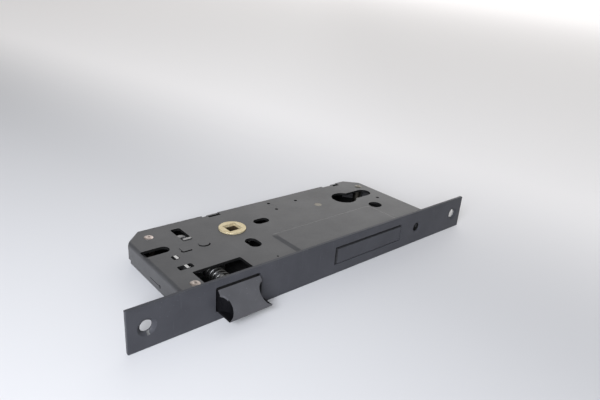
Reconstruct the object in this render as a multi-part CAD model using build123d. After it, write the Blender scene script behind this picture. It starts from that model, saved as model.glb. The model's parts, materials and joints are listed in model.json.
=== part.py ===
from build123d import *
import math
import os

# Sash mortise lock for a profile cylinder. The frame's origin is midway between the forend's
# two screw holes, on the forend's front face. X runs along the door's edge from the latch end
# to the deadbolt end, Y runs into the door, and Z is up with the lock lying on its side.

# Forend plate
FOREND_LENGTH = 245.0
FOREND_WIDTH = 22.0
FOREND_THICK = 2.0
FOREND_EDGE = 0.3
SCREW_PITCH = 227.0
SCREW_HOLE = 5.8
SCREW_SINK = 9.0
SCREW_SINK_DEPTH = 1.2
WINDOW_CORNER = 0.8
CYLINDER_SCREW_X = 72.5
CYLINDER_SCREW_HOLE = 5.6
CYLINDER_SINK = 6.8
CYLINDER_SINK_DEPTH = 0.6
CYLINDER_SCREW_ROOM = 7.0

# Case: a tray, and a cover whose two ends are bent down over it
CASE_LEFT = -94.2
CASE_RIGHT = 87.5
CASE_BACK = 74.0
CASE_CORNER = 10.0
CASE_THICK = 13.5
SHEET = 1.5
BEND = 2.0
STAKES = (-42.0, -14.0, 65.0)
STAKE = (8.0, 1.0, 4.0)
COVER_FOOT_Z = -2.6
COVER_PLAY = 0.1
END_WALL_DROP = 0.5

# Follower and cylinder
BACKSET = 50.0
CENTRES = 92.0
FOLLOWER_X = -37.5
SPINDLE = 8.2
BOSS = 16.0
BOSS_SUNK = 0.15
BOSS_PROUD = 0.8
CYLINDER_ROUND = 17.4
CYLINDER_LEG = 10.4
CYLINDER_LEG_END = 24.6
PLAY = 0.05

# Latch, at rest right out
LATCH_X = -66.5
LATCH_WIDTH = 24.2
LATCH_THICK = 12.0
LATCH_THROW = 11.3
LATCH_TIP = 1.1
LATCH_TIP_UNDERCUT = 0.6
LATCH_REAR = 8.0
LATCH_TRAVEL = 11.0
LATCH_SHELL = 0.8
LATCH_SOLE = 0.6
LATCH_GAP_SIDE = 0.8
LATCH_GAP_BELOW = 0.25
LATCH_GAP_ABOVE = 1.3
SCOOP_RADIUS = 4.7
SCOOP_OUT = 0.95
SCOOP_Y = -6.65
SCOOP_FLOOR = 1.0
STEM = 5.0
STEM_SOCKET = 7.0
STEM_END = 41.0
STEM_BLOCK_WIDTH = 5.0
STEM_BLOCK_Y = (37.0, 42.0)
WASHER = 9.6
WASHER_THICK = 0.8
TAIL_Z = (3.3, 5.1)
TAIL_X = (-69.2, -63.0)
TAIL_Y = (37.0, 61.3)
TAIL_TAB_X = (-68.2, -63.3)
TAIL_TAB_Y = (50.9, 52.9)
TAIL_TAB_TOP = 7.1
TAIL_HOLE = ((-68.3, -64.0), (54.4, 58.0))
LUG_X = (-55.6, -52.6)
LUG_Y = (47.1, 50.1)
LUG_FOOT_Z = -2.5
LATCH_SPRING_WIRE = 0.9
LATCH_SPRING_RADIUS = 3.9
LATCH_SPRING_HALF_TURNS = 12
LATCH_SPRING_RISE = 2.2
LATCH_SPRING_LEAD = 75.0

# Bracket that guides the latch's stem, with two tabs up through the cover
BRACKET_WALL_Y = (30.0, 31.6)
BRACKET_WALL_X = (-81.2, -55.0)
BRACKET_SIDE_X = (-81.2, -79.6)
BRACKET_SIDE_Y = (23.5, 38.5)
BRACKET_TABS = ((23.9, 27.3), (34.8, 38.4))
BRACKET_TAB_TOP = 6.9

# Follower arm, which swings alike either side of square to the latch's travel
ARM_REACH = 16.9
ARM_SWING = 38.0
ARM_NOSE = 4.8
ARM_TIP = 3.8
ARM_ROOT = 9.0
ARM_RING = 22.0
ARM_Z = (-1.2, 0.7)
RETURN_WIRE = 0.9
RETURN_RADIUS = 9.2
RETURN_PITCH = 1.45
RETURN_Z = -4.5
RETURN_HALF_TURNS = 2
RETURN_LEG = 7.0
RETURN_LIFT = 18.0
STOP_POST = 4.0
STOP_POST_TOP = -2.2

# Change lever, by which the cylinder draws the latch in
CHANGE_PIVOT = (2.5, 63.7)
CHANGE_PIN = (-66.0, 52.4)
CHANGE_PIN_DIA = 3.6
CHANGE_PIN_PLAY = 0.3
CHANGE_Z = (1.0, 2.6)
CHANGE_WIDTH = 4.6
CHANGE_EYE = 10.0
CHANGE_FORK = 8.0
CHANGE_FORK_LENGTH = 8.0
CHANGE_SLOT_END = 2.0
CHANGE_BENDS = ((-52.0, 60.5), (-34.0, 63.2), CHANGE_PIVOT, (28.0, 62.0), (41.0, 57.5))

# Deadbolt, at rest drawn in
BOLT_X = 28.0
BOLT_WIDTH = 56.4
BOLT_THICK = 10.0
BOLT_PROUD = 0.1
BOLT_REAR = 31.2
BOLT_TRAVEL = 20.0
BOLT_GAP_LEFT = 1.4
BOLT_GAP_ABOVE = 1.0
BOLT_GAP_CLOSE = 0.15
BOLT_OPENING_CORNER = 0.5
BOLT_EDGE = 0.5
BOLT_TAIL_X = (6.0, 25.0)
BOLT_TAIL_Y = (20.0, 66.0)
BOLT_TAIL_Z = (-5.0, -3.2)
BOLT_RIVETS = ((10.0, 25.5), (21.0, 25.5))
BOLT_RIVET = 4.0
NOTCHES = (44.0, 54.0, 64.0)
NOTCH_HALF = 1.7
NOTCH_DEPTH = 1.3
DETENT_ROUTE = ((2.4, 37.6), (3.6, 41.0), (5.4, 42.6), (6.75, 44.0), (5.4, 45.4), (3.5, 47.5), (2.9, 53.0))
DETENT_SHEET = 0.5
DETENT_Z = (-5.0, -3.5)
GUIDE_POSTS = ((3.7, 33.9), (27.3, 38.0), (2.6, 55.3))
GUIDE_POST = 4.0
GUIDE_POST_Z = (-5.25, -3.05)

# Throw lever, which the cylinder's cam turns to drive the deadbolt
THROW_PIVOT = (30.5, 50.4)
THROW_SWING = 70.0
THROW_Z = (-2.9, -1.1)
THROW_HUB = 11.0
THROW_EYE = 6.4
THROW_ARM = 5.0
THROW_FORK = 12.5
THROW_FORK_WIDTH = 4.4
THROW_FORK_ANGLES = (-60.0, -10.0)
THROW_PIN = 4.0
THROW_PIN_Z = (-4.95, -0.9)
THROW_SLOT_PLAY = 0.4

# Posts, rivets and the holes for the handle's and the escutcheon's through bolts
CORNERS = ((-82.4, 64.4), (-84.9, 9.7), (79.6, 60.4), (79.6, 5.4))
CORNER_SHOULDER = 6.0
CORNER_NECK = 3.6
CORNER_HEAD = 5.2
CORNER_HEAD_PROUD = 0.2
PIVOT_POST = 5.0
HANDLE_SLOTS = (((-37.6, 27.1), (-37.6, 30.8)), ((-19.0, 49.5), (-15.0, 49.5)))
HANDLE_SLOT_WIDTHS = (7.2, 6.5)
ESCUTCHEON_BOLT = (64.5, 30.0)
ESCUTCHEON_BOLT_DIA = 9.0

# Windows in the cover and the tray, as x and y spans
LATCH_WINDOW = ((-81.0, -52.8), (FOREND_THICK, 19.4))
TAIL_WINDOW = ((-68.7, -62.9), (50.2, 66.5))
END_SLOT = ((-93.3, -78.8), (44.2, 51.0))
TAB_SLOTS = (((-85.0, -77.0), (23.6, 27.6)), ((-82.6, -79.1), (34.5, 38.7)))
BACK_NOTCHES = ((-44.0, -40.8, -32.7), (55.2, 63.8, 69.3))
BACK_NOTCH_SHALLOW = 1.6
BACK_NOTCH_DEPTH = 4.0
BACK_TAB_SUNK = 0.3
PEEP_HOLES = ((3.1, 68.7, 2.2), (2.0, 58.8, 2.2), (21.9, 63.5, 2.2), (-35.8, 9.2, 1.2), (75.9, 38.0, 2.4))

# Pressed shapes in the cover
EMBOSS_X = (-24.0, 59.0)
EMBOSS_BACK = 31.5
EMBOSS_RISE = 0.9
EMBOSS_SLOPE = 2.2
EMBOSS_CORNER = 3.0
SHEAR_SPOTS = (((-72.1, 42.3), 5.2, 0.8), ((-60.8, 42.6), 6.0, 2.9))
SHEAR_RISE = 0.25
SHEAR_GAP = 0.8
SHEAR_ENDS = 1.0
END_SLIT_Y = (27.4, 38.6)
END_SLIT_Z = (-1.35, -0.85)
END_SLIT_HOLE = 2.0

# Measuring of the wound springs: step and least distance along the wire, in wire diameters
GAP_STEP = 0.3
GAP_APART = 3.2

# Below this two headings count as the same
NEARLY_ZERO = 1e-6

OUT = "parts"
TOP = CASE_THICK / 2
ROOF = TOP - SHEET
CYLINDER_X = FOLLOWER_X + CENTRES
TRAY_LEFT = CASE_LEFT + SHEET + COVER_PLAY
TRAY_RIGHT = CASE_RIGHT - SHEET - COVER_PLAY
THROUGH = (-2 * TOP, 2 * TOP)
ALONG_Y = (0, 1, 0)


def block(x, y, z):
    """A box between two x, two y and two z values."""
    size = Box(x[1] - x[0], y[1] - y[0], z[1] - z[0])
    return Pos((x[0] + x[1]) / 2, (y[0] + y[1]) / 2, (z[0] + z[1]) / 2) * size


def disc(centre, diameter, z):
    """An upright cylinder over a point, between two z values."""
    return Pos(centre[0], centre[1], (z[0] + z[1]) / 2) * Cylinder(diameter / 2, z[1] - z[0])


def slab(points, z):
    """A flat plate with the given outline, between two z values."""
    outline = make_face(Polyline(*points, close=True))
    return extrude(Pos(0, 0, z[0]) * outline, amount=z[1] - z[0])


def window(spans, z, corner):
    """An upright cutter over an x span and a y span, with rounded corners."""
    x, y = spans
    outline = RectangleRounded(x[1] - x[0], y[1] - y[0], corner)
    return extrude(Pos((x[0] + x[1]) / 2, (y[0] + y[1]) / 2, z[0]) * outline, amount=z[1] - z[0])


def strip(start, end, width, z):
    """A straight bar with round ends, between two points."""
    turn = math.degrees(math.atan2(end[1] - start[1], end[0] - start[0]))
    outline = SlotCenterToCenter(math.dist(start, end), width)
    middle = Pos((start[0] + end[0]) / 2, (start[1] + end[1]) / 2, z[0])
    return extrude(middle * Rot(0, 0, turn) * outline, amount=z[1] - z[0])


def lying_rod(x, z, diameter, y):
    """A cylinder along Y, between two y values."""
    plane = Plane(origin=(x, y[0], z), z_dir=ALONG_Y)
    return extrude(plane * Circle(diameter / 2), amount=y[1] - y[0])


def forend_cutter(x, z, corner):
    """A cutter through the forend and the tray's front wall, with rounded corners."""
    middle = ((x[0] + x[1]) / 2, -FOREND_THICK, (z[0] + z[1]) / 2)
    plane = Plane(origin=middle, x_dir=(1, 0, 0), z_dir=ALONG_Y)
    outline = RectangleRounded(x[1] - x[0], z[1] - z[0], corner)
    return extrude(plane * outline, amount=3 * FOREND_THICK)


def polar(centre, radius, angle):
    """A point at a radius and an angle in degrees from a centre."""
    turn = math.radians(angle)
    return (centre[0] + radius * math.cos(turn), centre[1] + radius * math.sin(turn))


def biarc(start, heading, end, arriving):
    """Two arcs that leave one point along a heading and reach another along a second one."""
    across = end - start
    square = 2 * (heading.dot(arriving) - 1)
    linear = -2 * across.dot(heading + arriving)
    whole = across.dot(across)
    if abs(square) < NEARLY_ZERO:
        reach = -whole / linear
    else:
        reach = (-linear - math.sqrt(linear**2 - 4 * square * whole)) / (2 * square)
    near = start + heading * reach
    far = end - arriving * reach
    joint = (near + far) * 0.5
    return [Edge.make_tangent_arc(start, heading, joint),
            Edge.make_tangent_arc(joint, (far - near).normalized(), end)]


def wound_wire(stations, wire, name):
    """A wire swept through stations of place and heading, straight where two are in line."""
    edges = []
    for (start, heading), (end, arriving) in zip(stations, stations[1:]):
        if (end - start).cross(heading).length < NEARLY_ZERO:
            edges.append(Edge.make_line(start, end))
        else:
            edges.extend(biarc(start, heading, end, arriving))
    path = Wire(edges)
    print(name, "wire length", round(path.length, 1), "least gap", round(least_gap(path, wire), 2))
    section = Plane(origin=stations[0][0], z_dir=stations[0][1]) * Circle(wire / 2)
    return sweep(section, path=path)


def least_gap(path, wire):
    """The least gap between two turns of a wire, measured on points along its middle line."""
    count = int(path.length / (GAP_STEP * wire))
    points = [path.position_at(step / count) for step in range(count + 1)]
    apart = int(GAP_APART * wire / (path.length / count))
    gaps = [(points[i] - points[j]).length for i in range(count + 1) for j in range(i + apart, count + 1)]
    return min(gaps) - wire


def case_outline(left, right, front, back, corner):
    """The case's plan: square at the forend, with both back corners cut off."""
    return [(left, front), (left, back - corner), (left + corner, back),
            (right - corner, back), (right, back - corner), (right, front)]


def profile_cylinder_hole():
    """The cutter for a profile cylinder: a round with a leg towards the deadbolt end."""
    centre = (CYLINDER_X, BACKSET)
    leg_end = (CYLINDER_X + CYLINDER_LEG_END - CYLINDER_LEG / 2, BACKSET)
    return disc(centre, CYLINDER_ROUND, THROUGH) + strip(centre, leg_end, CYLINDER_LEG, THROUGH)


def cut_through_holes(side):
    """Cuts the holes that pass through both sides of the case."""
    side -= disc((FOLLOWER_X, BACKSET), BOSS + 2 * PLAY, THROUGH)
    side -= profile_cylinder_hole()
    for (start, end), width in zip(HANDLE_SLOTS, HANDLE_SLOT_WIDTHS):
        side -= strip(start, end, width, THROUGH)
    side -= disc(ESCUTCHEON_BOLT, ESCUTCHEON_BOLT_DIA, THROUGH)
    for post in (THROW_PIVOT, CHANGE_PIVOT):
        side -= disc(post, PIVOT_POST, THROUGH)
    for centre in CORNERS:
        side -= corner_rivet(centre)
    return side


def latch_opening():
    """The cutter that the latch slides through."""
    half = LATCH_WIDTH / 2 + LATCH_GAP_SIDE
    height = (-LATCH_THICK / 2 - LATCH_GAP_BELOW, LATCH_THICK / 2 + LATCH_GAP_ABOVE)
    return forend_cutter((LATCH_X - half, LATCH_X + half), height, WINDOW_CORNER)


def bolt_opening():
    """The cutter that the deadbolt slides through, wide of it above and at its left."""
    width = (BOLT_X - BOLT_WIDTH / 2 - BOLT_GAP_LEFT, BOLT_X + BOLT_WIDTH / 2 + BOLT_GAP_CLOSE)
    height = (-BOLT_THICK / 2 - BOLT_GAP_CLOSE, BOLT_THICK / 2 + BOLT_GAP_ABOVE)
    return forend_cutter(width, height, BOLT_OPENING_CORNER)


def cylinder_screw_hole(diameter):
    """The cutter for the screw that holds the cylinder."""
    return lying_rod(CYLINDER_SCREW_X, 0, diameter, (-FOREND_THICK, 2 * FOREND_THICK))


def countersink(x, diameter, mouth, depth):
    """A conical cutter in the forend's front face."""
    cone = Cone(mouth / 2, diameter / 2, depth, align=(Align.CENTER, Align.CENTER, Align.MIN))
    return Plane(origin=(x, 0, 0), z_dir=ALONG_Y) * cone


def end_slit():
    """The cutter for the thin slit in the case's latch end, with a small hole where it stops."""
    wall = (CASE_LEFT - SHEET, TRAY_LEFT + 2 * SHEET)
    slit = block(wall, END_SLIT_Y, END_SLIT_Z)
    start = (wall[0], END_SLIT_Y[0], sum(END_SLIT_Z) / 2)
    hole = Plane(origin=start, z_dir=(1, 0, 0)) * Circle(END_SLIT_HOLE / 2)
    return slit + extrude(hole, amount=wall[1] - wall[0])


def stakes():
    """The tray's short tabs that are staked into the back of the forend."""
    tabs = []
    for middle in STAKES:
        span = (middle - STAKE[0] / 2, middle + STAKE[0] / 2)
        tabs.append(block(span, (FOREND_THICK - STAKE[1], FOREND_THICK), (-STAKE[2] / 2, STAKE[2] / 2)))
    return tabs


def forend():
    """The plate let into the door's edge, with the bolts' openings and its screw holes."""
    half = FOREND_LENGTH / 2
    plate = block((-half, half), (0, FOREND_THICK), (-FOREND_WIDTH / 2, FOREND_WIDTH / 2))
    plate = fillet(plate.edges(), FOREND_EDGE)
    for x in (-SCREW_PITCH / 2, SCREW_PITCH / 2):
        plate -= lying_rod(x, 0, SCREW_HOLE, (-FOREND_THICK, 2 * FOREND_THICK))
        plate -= countersink(x, SCREW_HOLE, SCREW_SINK, SCREW_SINK_DEPTH)
    plate -= latch_opening()
    plate -= bolt_opening()
    plate -= cylinder_screw_hole(CYLINDER_SCREW_HOLE)
    plate -= countersink(CYLINDER_SCREW_X, CYLINDER_SCREW_HOLE, CYLINDER_SINK, CYLINDER_SINK_DEPTH)
    for stake in stakes():
        plate -= stake
    return plate


def case_body():
    """The tray: a floor with a wall bent up all round it."""
    corner = CASE_CORNER - SHEET - COVER_PLAY
    inner_corner = corner - SHEET * (2 - math.sqrt(2))
    tray = slab(case_outline(TRAY_LEFT, TRAY_RIGHT, FOREND_THICK, CASE_BACK, corner), (-TOP, ROOF))
    tray -= slab(case_outline(TRAY_LEFT + SHEET, TRAY_RIGHT - SHEET, FOREND_THICK + SHEET,
                              CASE_BACK - SHEET, inner_corner), (-ROOF, TOP))
    for _, step, right in BACK_NOTCHES:
        tab = (step + COVER_PLAY, right - COVER_PLAY)
        tray += block(tab, (CASE_BACK - SHEET, CASE_BACK), (ROOF, TOP - BACK_TAB_SUNK))
    for end_wall in ((TRAY_LEFT, TRAY_LEFT + SHEET), (TRAY_RIGHT - SHEET, TRAY_RIGHT)):
        tray -= block(end_wall, (0, CASE_BACK), (ROOF - END_WALL_DROP, TOP))
    tray = cut_through_holes(tray)
    tray -= window(LATCH_WINDOW, (-2 * TOP, -ROOF + SHEET / 2), WINDOW_CORNER)
    tray -= latch_opening()
    tray -= bolt_opening()
    tray -= cylinder_screw_hole(CYLINDER_SCREW_ROOM)
    tray -= end_slit()
    for stake in stakes():
        tray += stake
    return tray


def emboss():
    """The raised area over the deadbolt, which runs out at the forend."""
    layers = []
    for slope, height in ((0, TOP), (EMBOSS_SLOPE, TOP + EMBOSS_RISE)):
        left = EMBOSS_X[0] + slope
        right = EMBOSS_X[1] - slope
        near = -EMBOSS_BACK
        far = EMBOSS_BACK - slope
        outline = RectangleRounded(right - left, far - near, EMBOSS_CORNER)
        layers.append(Pos((left + right) / 2, (near + far) / 2, height) * outline)
    raised = loft([layer.face() for layer in layers])
    return raised & block(EMBOSS_X, (FOREND_THICK, EMBOSS_BACK), THROUGH)


def sheared_spot(centre, size, corner):
    """The gap along the near edge of a spot half sheared up out of the cover, and the spot."""
    here = Pos(centre[0], centre[1], ROOF)
    wide = size + 2 * SHEAR_GAP
    gap = extrude(here * RectangleRounded(wide, wide, corner + SHEAR_GAP - PLAY), amount=SHEET)
    spot = extrude(here * RectangleRounded(size, size, corner), amount=SHEET)
    x, y = centre
    near = block((x - wide, x + size / 2), (y - wide, y - SHEAR_ENDS), THROUGH)
    return (gap - spot) & near, Pos(0, 0, SHEAR_RISE) * spot


def case_cover():
    """The cover sheet, bent down at both ends and pressed up over the deadbolt."""
    middle = SHEET / 2
    left = CASE_LEFT + middle
    right = CASE_RIGHT - middle
    fold = FilletPolyline((left, COVER_FOOT_Z), (left, TOP - middle), (right, TOP - middle),
                          (right, COVER_FOOT_Z), radius=BEND - middle)
    back = Plane(origin=(0, CASE_BACK, 0), x_dir=(1, 0, 0), z_dir=(0, -1, 0))
    cover = extrude(back * trace(fold, SHEET), amount=CASE_BACK - FOREND_THICK)
    cover &= slab(case_outline(CASE_LEFT, CASE_RIGHT, FOREND_THICK, CASE_BACK, CASE_CORNER), THROUGH)
    cover += emboss()
    cover -= Pos(0, 0, -SHEET) * emboss()
    for centre, size, corner in SHEAR_SPOTS:
        gap, raised = sheared_spot(centre, size, corner)
        cover -= gap
        cover += raised
    cover = cut_through_holes(cover)
    upwards = (ROOF - SHEET, 2 * TOP)
    cover -= window(LATCH_WINDOW, upwards, WINDOW_CORNER)
    cover -= window(TAIL_WINDOW, upwards, SHEET)
    cover -= block((END_SLOT[0][0], sum(END_SLOT[0]) / 2), END_SLOT[1], upwards)
    cover -= window(END_SLOT, upwards, (END_SLOT[1][1] - END_SLOT[1][0]) / 2 - PLAY)
    for spans in TAB_SLOTS:
        cover -= window(spans, upwards, WINDOW_CORNER)
    for left, step, right in BACK_NOTCHES:
        cover -= block((left, step), (CASE_BACK - BACK_NOTCH_SHALLOW, CASE_BACK), upwards)
        cover -= block((step, right), (CASE_BACK - BACK_NOTCH_DEPTH, CASE_BACK), upwards)
    for x, y, diameter in PEEP_HOLES:
        cover -= disc((x, y), diameter, upwards)
    return cover - end_slit()


def corner_rivet(centre):
    """A shouldered rivet that holds cover and tray apart, peened into both countersinks."""
    rivet = disc(centre, CORNER_SHOULDER, (-ROOF, ROOF)) + disc(centre, CORNER_NECK, (-TOP, TOP))
    for side, turn in ((1, 0), (-1, 180)):
        cone = Cone(CORNER_NECK / 2, CORNER_HEAD / 2, SHEET / 2)
        rivet += Pos(centre[0], centre[1], side * (TOP - SHEET / 4)) * Rot(turn, 0, 0) * cone
        rivet += disc(centre, CORNER_HEAD, sorted((side * TOP, side * (TOP + CORNER_HEAD_PROUD))))
    return rivet


def corner_rivets():
    """The four rivets at the case's corners."""
    return Compound([corner_rivet(centre) for centre in CORNERS])


def pivot_post(centre):
    """A plain post held in both sides of the case."""
    return disc(centre, PIVOT_POST, (-TOP, TOP))


def stem_bracket():
    """The bracket that the latch's spring pushes on, with a hole for the stem and two tabs."""
    bracket = block(BRACKET_WALL_X, BRACKET_WALL_Y, (-ROOF, ROOF))
    bracket += block(BRACKET_SIDE_X, BRACKET_SIDE_Y, (-ROOF, ROOF))
    for tab in BRACKET_TABS:
        bracket += block(BRACKET_SIDE_X, tab, (ROOF, BRACKET_TAB_TOP))
    return bracket - lying_rod(LATCH_X, 0, STEM + 2 * PLAY, (0, BACKSET))


def bar_across(points, x):
    """A bar along X whose section is given as y and z points."""
    plane = Plane(origin=(x[0], 0, 0), x_dir=ALONG_Y, z_dir=(1, 0, 0))
    return extrude(plane * make_face(Polyline(*points, close=True)), amount=x[1] - x[0])


def cut_scoops(piece):
    """Hollows both ends of the latch with an upright round, down to a floor of the core over the sole."""
    floor = -LATCH_THICK / 2 + SCOOP_FLOOR
    for side in (-1, 1):
        middle = LATCH_X + side * (LATCH_WIDTH / 2 + SCOOP_OUT)
        piece -= disc((middle, SCOOP_Y), 2 * SCOOP_RADIUS, (floor, LATCH_THICK))
    return piece


def latch_core_section():
    """The section of the latch's core, between its shell's bevel and sole, as y and z points."""
    roof = LATCH_THICK / 2 - LATCH_SHELL
    floor = -LATCH_THICK / 2 + LATCH_SOLE
    level = -LATCH_THROW + LATCH_SHELL * math.sqrt(2) + LATCH_THICK / 2 - LATCH_TIP
    return [(LATCH_REAR, floor), (level + floor, floor), (level + roof, roof), (LATCH_REAR, roof)]


def latch_head():
    """The latch's steel shell: a plane bevel above, a flat side below and open scooped ends."""
    rise = LATCH_THICK / 2
    shoulder = -LATCH_THROW + LATCH_THICK - LATCH_TIP
    undercut = LATCH_TIP_UNDERCUT
    section = [(LATCH_REAR, -rise), (undercut - LATCH_THROW, -rise), (-LATCH_THROW, undercut - rise),
               (-LATCH_THROW, LATCH_TIP - rise), (shoulder, rise), (LATCH_REAR, rise)]
    width = (LATCH_X - LATCH_WIDTH / 2, LATCH_X + LATCH_WIDTH / 2)
    return cut_scoops(bar_across(section, width) - bar_across(latch_core_section(), width))


def latch_insert():
    """The nylon core that fills the latch's shell and holds the stem."""
    width = (LATCH_X - LATCH_WIDTH / 2, LATCH_X + LATCH_WIDTH / 2)
    core = cut_scoops(bar_across(latch_core_section(), width))
    return core - lying_rod(LATCH_X, 0, STEM, (LATCH_REAR - STEM_SOCKET, 2 * LATCH_REAR))


def latch_stem():
    """The round stem behind the latch, with the block that carries the tail."""
    rod = lying_rod(LATCH_X, 0, STEM, (LATCH_REAR - STEM_SOCKET, STEM_END))
    half = STEM_BLOCK_WIDTH / 2
    return rod + block((LATCH_X - half, LATCH_X + half), STEM_BLOCK_Y, (-STEM / 2, TAIL_Z[0]))


def latch_washer():
    """The washer between the latch and its spring."""
    ring = lying_rod(LATCH_X, 0, WASHER, (LATCH_REAR, LATCH_REAR + WASHER_THICK))
    return ring - lying_rod(LATCH_X, 0, STEM, (0, BACKSET))


def latch_tail():
    """The plate that the follower's arm pulls on, with its lug, underside pin, and a tab turned up."""
    round_end = (TAIL_X[1] - TAIL_X[0]) / 2
    plate = block(TAIL_X, (TAIL_Y[0], TAIL_Y[1] - round_end), TAIL_Z)
    plate += disc((TAIL_X[0] + round_end, TAIL_Y[1] - round_end), 2 * round_end, TAIL_Z)
    plate -= block(*TAIL_HOLE, TAIL_Z)
    plate += block((TAIL_X[1], LUG_X[1]), LUG_Y, TAIL_Z)
    plate += block(LUG_X, LUG_Y, (LUG_FOOT_Z, TAIL_Z[0]))
    plate += block(TAIL_TAB_X, TAIL_TAB_Y, (TAIL_Z[1], TAIL_TAB_TOP))
    return plate + disc(CHANGE_PIN, CHANGE_PIN_DIA, (CHANGE_Z[0] - PLAY, TAIL_Z[0]))


def latch_spring():
    """The coil spring round the latch's stem, with its ends turned square to washer and bracket."""
    start = LATCH_REAR + WASHER_THICK
    end = BRACKET_WALL_Y[0]
    lead = math.radians(LATCH_SPRING_LEAD)
    turn = math.pi * LATCH_SPRING_HALF_TURNS
    pitch = (end - start - 2 * LATCH_SPRING_RISE) / turn

    def station(angle, y, square):
        across = LATCH_SPRING_RADIUS * math.cos(angle)
        up = LATCH_SPRING_RADIUS * math.sin(angle)
        place = Vector(LATCH_X + across, y, up)
        heading = Vector(-up, pitch, across)
        return place, Vector(*ALONG_Y) if square else heading.normalized()

    stations = [station(-lead, start, True), station(-lead, start + LATCH_SPRING_WIRE, True)]
    for half_turn in range(LATCH_SPRING_HALF_TURNS + 1):
        angle = math.pi * half_turn
        stations.append(station(angle, start + LATCH_SPRING_RISE + pitch * angle, False))
    stations.append(station(turn + lead, end - LATCH_SPRING_WIRE, True))
    stations.append(station(turn + lead, end, True))
    return wound_wire(stations, LATCH_SPRING_WIRE, "latch_spring")


def follower_hub():
    """The brass hub, proud of the cover, with the square hole for the handle's spindle."""
    hub = disc((FOLLOWER_X, BACKSET), BOSS, (-TOP + BOSS_SUNK, TOP + BOSS_PROUD))
    half = SPINDLE / 2
    return hub - block((FOLLOWER_X - half, FOLLOWER_X + half), (BACKSET - half, BACKSET + half), THROUGH)


def follower_arm():
    """The steel plate pressed on the hub, whose nose pulls the latch's lug."""
    centre = (FOLLOWER_X, BACKSET)
    angle = 180 + ARM_SWING / 2
    nose = polar(centre, ARM_REACH, angle)
    root = [polar(centre, ARM_ROOT / 2, angle + 90), polar(centre, ARM_ROOT / 2, angle - 90)]
    tip = [polar(nose, ARM_TIP / 2, angle - 90), polar(nose, ARM_TIP / 2, angle + 90)]
    plate = disc(centre, ARM_RING, ARM_Z) + slab(root + tip, ARM_Z) + disc(nose, ARM_NOSE, ARM_Z)
    return plate - disc(centre, BOSS, THROUGH)


def follower_spring():
    """The torsion spring round the hub, from the stop post up into the arm."""
    pitch = RETURN_PITCH / (2 * math.pi)

    def station(angle, z, upright):
        across = RETURN_RADIUS * math.cos(angle)
        inward = RETURN_RADIUS * math.sin(angle)
        place = Vector(FOLLOWER_X + across, BACKSET + inward, z)
        heading = Vector(-inward, across, pitch)
        return place, Vector(0, 0, 1) if upright else heading.normalized()

    first = -math.pi / 2
    place, heading = station(first, RETURN_Z, False)
    stations = [(place - heading * RETURN_LEG, heading)]
    for half_turn in range(RETURN_HALF_TURNS + 1):
        angle = math.pi * half_turn
        stations.append(station(first + angle, RETURN_Z + pitch * angle, False))
    last = first + angle + math.radians(RETURN_LIFT)
    stations.append(station(last, ARM_Z[0] - RETURN_WIRE, True))
    stations.append(station(last, ARM_Z[0], True))
    return wound_wire(stations, RETURN_WIRE, "follower_spring")


def spring_stop_post():
    """The post that the follower spring's leg bears on."""
    middle = FOLLOWER_X - RETURN_LEG - STOP_POST / 2 - 2 * PLAY
    return disc((middle, BACKSET - RETURN_RADIUS), STOP_POST, (-ROOF, STOP_POST_TOP))


def change_lever():
    """The lever from the cylinder's cam to the latch's tail, forked round the tail's pin."""
    inward = math.degrees(math.atan2(CHANGE_PIVOT[1] - CHANGE_PIN[1], CHANGE_PIVOT[0] - CHANGE_PIN[0]))
    fork = polar(CHANGE_PIN, CHANGE_FORK_LENGTH, inward)
    lever = strip(CHANGE_PIN, fork, CHANGE_FORK, CHANGE_Z)
    bends = (fork,) + CHANGE_BENDS
    for start, end in zip(bends, bends[1:]):
        lever += strip(start, end, CHANGE_WIDTH, CHANGE_Z)
    lever += disc(CHANGE_PIVOT, CHANGE_EYE, CHANGE_Z)
    lever -= disc(CHANGE_PIVOT, PIVOT_POST + 2 * PLAY, THROUGH)
    mouth = polar(CHANGE_PIN, -CHANGE_FORK, inward)
    root = polar(CHANGE_PIN, CHANGE_SLOT_END, inward)
    return lever - strip(mouth, root, CHANGE_PIN_DIA + CHANGE_PIN_PLAY, THROUGH)


def deadbolt_head():
    """The bolt, rebated below for its tail."""
    half = BOLT_WIDTH / 2
    rise = BOLT_THICK / 2
    head = block((BOLT_X - half, BOLT_X + half), (-BOLT_PROUD, BOLT_REAR), (-rise, rise))
    head = chamfer(head.faces().sort_by(Axis.Y)[0].edges(), BOLT_EDGE)
    rebate = (BOLT_TAIL_X[0] - PLAY, BOLT_TAIL_X[1] + PLAY)
    head -= block(rebate, (BOLT_TAIL_Y[0], BOLT_TAIL_Y[1]), (-BOLT_THICK, BOLT_TAIL_Z[1]))
    for rivet in BOLT_RIVETS:
        head -= disc(rivet, BOLT_RIVET, (-BOLT_THICK, 0))
    return head


def deadbolt_rivets():
    """The rivets between the bolt and its tail."""
    return Compound([disc(rivet, BOLT_RIVET, (BOLT_TAIL_Z[0], 0)) for rivet in BOLT_RIVETS])


def throw_radius():
    """The reach of the throw lever's pin, for the deadbolt's full travel."""
    return BOLT_TRAVEL / 2 / math.sin(math.radians(THROW_SWING / 2))


def throw_pin_place():
    """Where the throw lever's pin stands at rest."""
    return polar(THROW_PIVOT, throw_radius(), 180 - THROW_SWING / 2)


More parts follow.
